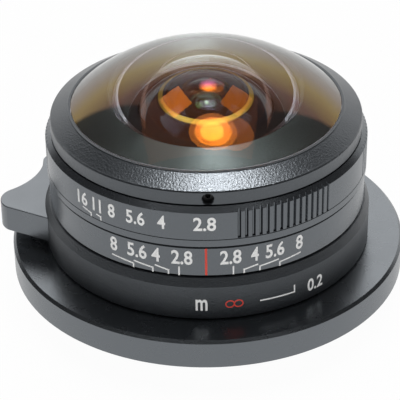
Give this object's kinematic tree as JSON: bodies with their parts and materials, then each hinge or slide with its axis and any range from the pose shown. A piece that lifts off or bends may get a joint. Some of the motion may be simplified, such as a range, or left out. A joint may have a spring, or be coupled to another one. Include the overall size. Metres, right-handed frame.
{
  "type": "fisheye lens",
  "caption": "Small manual fisheye camera lens with a bulging dome of glass, a focus ring with a finger lever, a grooved aperture ring, depth scale and bayonet mount.",
  "frame": {"origin": "centre of the mount face, on the optical axis", "axes": "+Z along the optical axis out of the front glass; -Y towards the side with the index line; +X completes a right-handed frame, with the finger lever towards -X"},
  "size_m": [0.058, 0.0564, 0.0374],
  "materials": {
    "black_anodised": "satin black anodised",
    "matte_black": "matte black anodised",
    "chromed_brass": "satin chrome plated",
    "bare_brass": "fine turned",
    "black_steel": "black oxide",
    "bright_steel": "polished",
    "coated_glass": "clear, with an antireflection coating",
    "inner_glass": "clear, with an antireflection coating",
    "black_rubber": "matte",
    "white_paint": "matte filled markings",
    "red_paint": "matte filled markings"
  },
  "bodies": {
    "base": {"mount_flange": "black_anodised", "bayonet_mount": "chromed_brass", "mount_screws": "bright_steel", "rear_baffle": "matte_black", "rear_baffle_screws": "black_steel", "guide_tube": "matte_black", "guide_dowel": "bright_steel", "cam_ring_clip": "bright_steel"},
    "focus": {"focus_ring": "black_anodised", "focus_cam_ring": "bare_brass", "focus_ring_screws": "black_steel", "focus_lever": "black_anodised", "focus_lever_screws": "black_steel"},
    "aperture": {"aperture_ring": "black_anodised", "aperture_drive_pin": "bright_steel"},
    "iris_drive": {"iris_drive_ring": "bare_brass"},
    "blade_1": {"iris_blade_1": "black_steel"},
    "blade_2": {"iris_blade_2": "black_steel"},
    "blade_3": {"iris_blade_3": "black_steel"},
    "blade_4": {"iris_blade_4": "black_steel"},
    "blade_5": {"iris_blade_5": "black_steel"},
    "blade_6": {"iris_blade_6": "black_steel"},
    "blade_7": {"iris_blade_7": "black_steel"},
    "barrel": {"rear_housing": "matte_black", "cam_followers": "bare_brass", "front_housing": "matte_black", "housing_screws": "black_steel", "scale_ring": "black_anodised", "scale_ring_screws": "black_steel", "detent_ball": "bright_steel", "detent_plug": "black_steel", "detent_spring": "bright_steel", "front_bezel": "black_anodised", "bezel_set_screw": "black_steel", "front_seal": "black_rubber", "element_1": "coated_glass", "element_2": "coated_glass", "element_2_ring": "matte_black", "front_cell": "matte_black", "element_3": "inner_glass", "cell_spacer": "matte_black", "element_4": "inner_glass", "front_cell_ring": "matte_black", "iris_housing": "matte_black", "iris_housing_screws": "black_steel", "iris_cover": "matte_black", "iris_cover_screws": "black_steel", "rear_cell": "matte_black", "element_5": "inner_glass", "element_5_ring": "matte_black", "element_6": "inner_glass", "element_7": "inner_glass", "rear_cell_ring": "matte_black"}
  },
  "joints": [
    {"name": "focus_turn", "type": "hinge", "parent": "base", "child": "focus", "pos_m": [0, 0, 0.0076], "axis": [0, 0, -1], "range_deg": [0, 84]},
    {"name": "barrel_travel", "type": "slide", "parent": "base", "child": "barrel", "axis": [0, 0, 1], "range_m": [0, 0.0004013]},
    {"name": "aperture_turn", "type": "hinge", "parent": "barrel", "child": "aperture", "pos_m": [0, 0, 0.0188], "axis": [0, 0, 1], "range_deg": [0, 42.8]},
    {"name": "iris_drive_turn", "type": "hinge", "parent": "barrel", "child": "iris_drive", "pos_m": [0, 0, 0.0166], "axis": [0, 0, 1], "range_deg": [0, 42.81]},
    {"name": "blade_1_swing", "type": "hinge", "parent": "barrel", "child": "blade_1", "pos_m": [0.007, 0, 0.0155], "axis": [0, 0, 1], "range_deg": [0, 19.31]},
    {"name": "blade_2_swing", "type": "hinge", "parent": "barrel", "child": "blade_2", "pos_m": [0.00436, 0.00547, 0.0155], "axis": [0, 0, 1], "range_deg": [0, 19.31]},
    {"name": "blade_3_swing", "type": "hinge", "parent": "barrel", "child": "blade_3", "pos_m": [-0.00156, 0.00682, 0.0155], "axis": [0, 0, 1], "range_deg": [0, 19.31]},
    {"name": "blade_4_swing", "type": "hinge", "parent": "barrel", "child": "blade_4", "pos_m": [-0.00631, 0.00304, 0.0155], "axis": [0, 0, 1], "range_deg": [0, 19.31]},
    {"name": "blade_5_swing", "type": "hinge", "parent": "barrel", "child": "blade_5", "pos_m": [-0.00631, -0.00304, 0.0155], "axis": [0, 0, 1], "range_deg": [0, 19.31]},
    {"name": "blade_6_swing", "type": "hinge", "parent": "barrel", "child": "blade_6", "pos_m": [-0.00156, -0.00682, 0.0155], "axis": [0, 0, 1], "range_deg": [0, 19.31]},
    {"name": "blade_7_swing", "type": "hinge", "parent": "barrel", "child": "blade_7", "pos_m": [0.00436, -0.00547, 0.0155], "axis": [0, 0, 1], "range_deg": [0, 19.31]}
  ],
  "couplings": [
    {"joint": "focus_turn", "follows": "barrel_travel", "rad_per_m": 3653},
    {"joint": "iris_drive_turn", "follows": "aperture_turn", "ratio": 1},
    {"joint": "blade_1_swing", "follows": "aperture_turn", "ratio": 0.45093},
    {"joint": "blade_2_swing", "follows": "aperture_turn", "ratio": 0.45093},
    {"joint": "blade_3_swing", "follows": "aperture_turn", "ratio": 0.45093},
    {"joint": "blade_4_swing", "follows": "aperture_turn", "ratio": 0.45093},
    {"joint": "blade_5_swing", "follows": "aperture_turn", "ratio": 0.45093},
    {"joint": "blade_6_swing", "follows": "aperture_turn", "ratio": 0.45093},
    {"joint": "blade_7_swing", "follows": "aperture_turn", "ratio": 0.45093}
  ]
}
